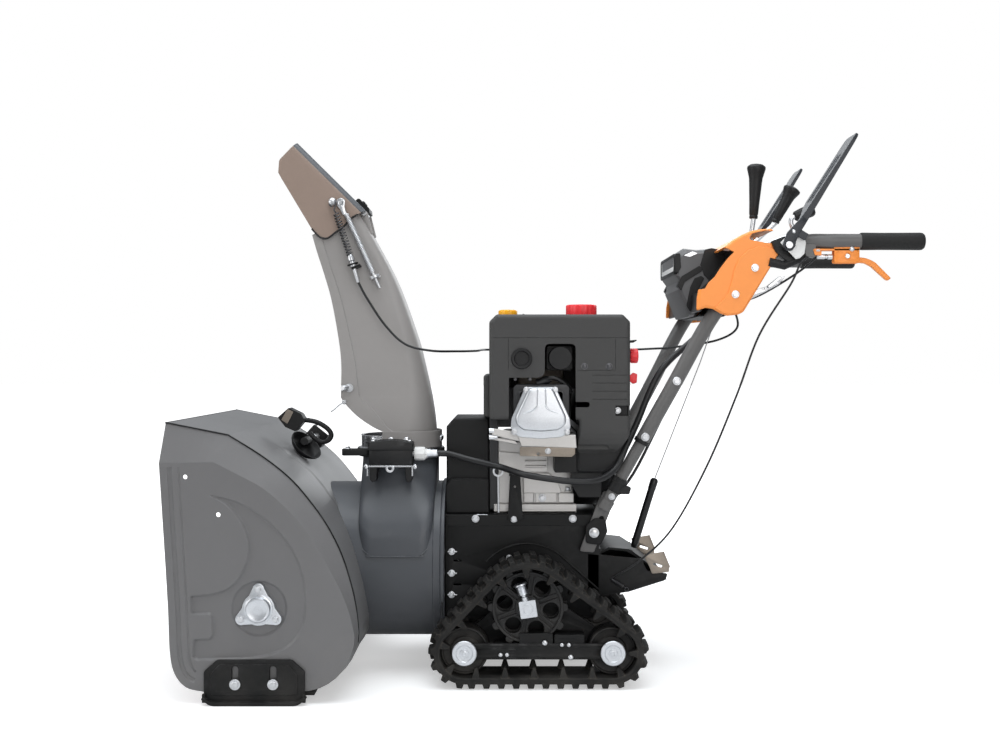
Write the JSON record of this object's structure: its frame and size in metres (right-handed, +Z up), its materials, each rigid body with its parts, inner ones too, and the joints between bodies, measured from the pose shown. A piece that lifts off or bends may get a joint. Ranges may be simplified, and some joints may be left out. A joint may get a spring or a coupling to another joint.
{
  "type": "snow blower",
  "caption": "Walk-behind two-stage snow blower on rubber tracks, with an auger housing, a turning chute with a tilting deflector, a petrol engine and a handlebar console.",
  "frame": {"origin": "on the ground under the middle of the machine", "axes": "+X towards the handles, the intake at -X; +Y to the operator's right; +Z up"},
  "size_m": [1.494, 0.69, 1.1221],
  "materials": {
    "housing_paint": "satin dark grey powder coat",
    "chute_paint": "satin mid grey powder coat",
    "hood_paint": "satin warm grey powder coat",
    "drum_paint": "satin blue-grey powder coat",
    "black_paint": "satin black powder coat",
    "tube_paint": "satin grey powder coat",
    "auger_paint": "gloss orange-red paint",
    "black_plastic": "moulded, fine texture",
    "engine_plastic": "moulded, fine texture",
    "lamp_plastic": "moulded, faceted",
    "orange_plastic": "moulded, satin gloss",
    "red_plastic": "moulded, satin gloss",
    "yellow_plastic": "moulded, satin gloss",
    "lens": "clear white diffuser",
    "grip_rubber": "ribbed soft rubber",
    "cable_rubber": "smooth sheath",
    "track_rubber": "moulded rubber",
    "zinc": "bright zinc plate",
    "steel": "machined steel",
    "muffler_steel": "heat-stained sheet",
    "cast_alloy": "as cast",
    "bright_alloy": "bright cast",
    "gear_case_iron": "painted casting"
  },
  "bodies": {
    "machine": {"auger_housing": "housing_paint", "impeller_drum": "drum_paint", "scraper_bar": "black_paint", "skid_shoes": "black_paint", "shaft_bearings": "zinc", "fasteners": "zinc", "gearbox_case": "gear_case_iron", "cleanout_tool": "black_plastic", "chute_drive": "black_plastic", "flex_shaft": "cable_rubber", "deflector_cable": "cable_rubber", "chassis": "black_paint", "transmission": "cast_alloy", "belt_cover": "black_plastic", "rear_tray": "black_paint", "drive_belt": "cable_rubber", "engine_block": "cast_alloy", "valve_cover": "bright_alloy", "engine_shroud": "engine_plastic", "flywheel_housing": "black_plastic", "muffler": "muffler_steel", "lower_handles": "tube_paint", "handlebars": "tube_paint", "grips": "grip_rubber", "console_cover": "orange_plastic", "console_frame": "black_paint", "headlight_housing": "lamp_plastic", "headlight_lens": "lens", "trigger_bracket": "orange_plastic", "control_cables": "cable_rubber"},
    "chute_unit": {"chute": "chute_paint", "chute_gear": "black_plastic", "chute_hardware": "zinc", "deflector_spring": "steel"},
    "deflector_hood": {"deflector": "hood_paint"},
    "rod": {"deflector_rod": "zinc"},
    "auger": {"auger_flights": "auger_paint", "auger_shaft": "steel"},
    "impeller_rotor": {"impeller": "auger_paint", "impeller_shaft": "steel"},
    "crank_rotor": {"crankshaft": "steel"},
    "axle": {"drive_axle": "steel", "drive_wheels": "black_plastic"},
    "track_unit": {"track_frames": "black_paint", "tracks": "track_rubber"},
    "front_left_idler": {"idler_front_left": "black_plastic"},
    "rear_left_idler": {"idler_rear_left": "black_plastic"},
    "front_right_idler": {"idler_front_right": "black_plastic"},
    "rear_right_idler": {"idler_rear_right": "black_plastic"},
    "clutch_paddle_left": {"left_paddle": "black_plastic"},
    "clutch_paddle_right": {"right_paddle": "black_plastic"},
    "hood_lever": {"deflector_lever": "black_plastic"},
    "gear_lever": {"speed_lever": "black_plastic"},
    "crank": {"chute_crank": "steel"},
    "worm": {"chute_worm": "steel"},
    "trigger_lever": {"trigger": "orange_plastic"},
    "filler_cap": {"fuel_cap": "red_plastic"},
    "oil_filler_cap": {"oil_cap": "yellow_plastic"},
    "choke": {"choke_knob": "red_plastic"},
    "key": {"ignition_key": "red_plastic"}
  },
  "joints": [
    {"name": "chute_turn", "type": "hinge", "parent": "machine", "child": "chute_unit", "pos_m": [-0.313, 0, 0.455], "axis": [0, 0, 1], "range_deg": [-95, 95], "deforming": ["deflector_cable"]},
    {"name": "chute_worm_spin", "type": "hinge", "parent": "machine", "child": "worm", "pos_m": [-0.313, -0.1093, 0.4605], "axis": [1, 0, 0], "range_deg": [-1900, 1900]},
    {"name": "chute_crank_turn", "type": "hinge", "parent": "machine", "child": "crank", "pos_m": [0.455, 0, 0.9], "axis": [0.9397, 0, 0.342], "range_deg": [-1900, 1900]},
    {"name": "deflector_tilt", "type": "hinge", "parent": "chute_unit", "child": "deflector_hood", "pos_m": [-0.39, 0, 0.973], "axis": [0, 1, 0], "range_deg": [-45, 0], "deforming": ["deflector_spring"]},
    {"name": "rod_swing", "type": "hinge", "parent": "deflector_hood", "child": "rod", "pos_m": [-0.435, -0.072, 0.99], "axis": [0, 1, 0], "range_deg": [0, 40]},
    {"name": "deflector_lever_swing", "type": "hinge", "parent": "machine", "child": "hood_lever", "pos_m": [0.425, -0.07, 0.862], "axis": [0, 1, 0], "range_deg": [0, 25.1]},
    {"name": "impeller_spin", "type": "hinge", "parent": "machine", "child": "impeller_rotor", "pos_m": [-0.218, 0, 0.226], "axis": [1, 0, 0], "continuous": true},
    {"name": "auger_spin", "type": "hinge", "parent": "machine", "child": "auger", "pos_m": [-0.557, 0, 0.181], "axis": [0, 1, 0], "continuous": true},
    {"name": "crankshaft_spin", "type": "hinge", "parent": "machine", "child": "crank_rotor", "pos_m": [-0.166, 0, 0.47], "axis": [1, 0, 0], "continuous": true},
    {"name": "axle_spin", "type": "hinge", "parent": "machine", "child": "axle", "pos_m": [-0.041, 0, 0.159], "axis": [0, 1, 0], "continuous": true},
    {"name": "track_tilt", "type": "hinge", "parent": "machine", "child": "track_unit", "pos_m": [-0.041, 0, 0.159], "axis": [0, 1, 0], "range_deg": [-6, 3]},
    {"name": "front_left_idler_spin", "type": "hinge", "parent": "track_unit", "child": "front_left_idler", "pos_m": [-0.168, -0.179, 0.0725], "axis": [0, 1, 0], "continuous": true},
    {"name": "rear_left_idler_spin", "type": "hinge", "parent": "track_unit", "child": "rear_left_idler", "pos_m": [0.128, -0.179, 0.0725], "axis": [0, 1, 0], "continuous": true},
    {"name": "front_right_idler_spin", "type": "hinge", "parent": "track_unit", "child": "front_right_idler", "pos_m": [-0.168, 0.179, 0.0725], "axis": [0, 1, 0], "continuous": true},
    {"name": "rear_right_idler_spin", "type": "hinge", "parent": "track_unit", "child": "rear_right_idler", "pos_m": [0.128, 0.179, 0.0725], "axis": [0, 1, 0], "continuous": true},
    {"name": "left_paddle_press", "type": "hinge", "parent": "machine", "child": "clutch_paddle_left", "pos_m": [0.474, -0.24, 0.883], "axis": [0, 1, 0], "range_deg": [0, 36], "stiffness_Nm_per_rad": 0.8, "springref_deg": -28.65},
    {"name": "right_paddle_press", "type": "hinge", "parent": "machine", "child": "clutch_paddle_right", "pos_m": [0.474, 0.24, 0.883], "axis": [0, 1, 0], "range_deg": [0, 36], "stiffness_Nm_per_rad": 0.8, "springref_deg": -28.65},
    {"name": "speed_lever_swing", "type": "hinge", "parent": "machine", "child": "gear_lever", "pos_m": [0.425, 0.075, 0.862], "axis": [0, 1, 0], "range_deg": [-8, 16]},
    {"name": "trigger_pull", "type": "hinge", "parent": "machine", "child": "trigger_lever", "pos_m": [0.592, -0.23, 0.862], "axis": [0, 1, 0], "range_deg": [-18, 0], "stiffness_Nm_per_rad": 0.15, "springref_deg": 17.19},
    {"name": "fuel_cap_turn", "type": "hinge", "parent": "machine", "child": "filler_cap", "pos_m": [0.078, -0.04, 0.749], "axis": [0, 0, 1], "range_deg": [0, 90]},
    {"name": "oil_cap_turn", "type": "hinge", "parent": "machine", "child": "oil_filler_cap", "pos_m": [-0.08, -0.03, 0.749], "axis": [0, 0, 1], "range_deg": [0, 90]},
    {"name": "choke_turn", "type": "hinge", "parent": "machine", "child": "choke", "pos_m": [0.168, -0.12, 0.665], "axis": [1, 0, 0], "range_deg": [-90, 0]},
    {"name": "key_pull", "type": "slide", "parent": "machine", "child": "key", "axis": [1, 0, 0], "range_m": [0, 0.015]}
  ],
  "couplings": [
    {"joint": "chute_worm_spin", "follows": "chute_turn", "ratio": 20},
    {"joint": "chute_crank_turn", "follows": "chute_turn", "ratio": 20},
    {"joint": "rod_swing", "follows": "deflector_tilt", "ratio": -0.869},
    {"joint": "deflector_lever_swing", "follows": "deflector_tilt", "ratio": -0.5556},
    {"joint": "auger_spin", "follows": "impeller_spin", "ratio": 0.1},
    {"joint": "front_left_idler_spin", "follows": "axle_spin", "ratio": 1.67},
    {"joint": "rear_left_idler_spin", "follows": "axle_spin", "ratio": 1.67},
    {"joint": "front_right_idler_spin", "follows": "axle_spin", "ratio": 1.67},
    {"joint": "rear_right_idler_spin", "follows": "axle_spin", "ratio": 1.67}
  ]
}
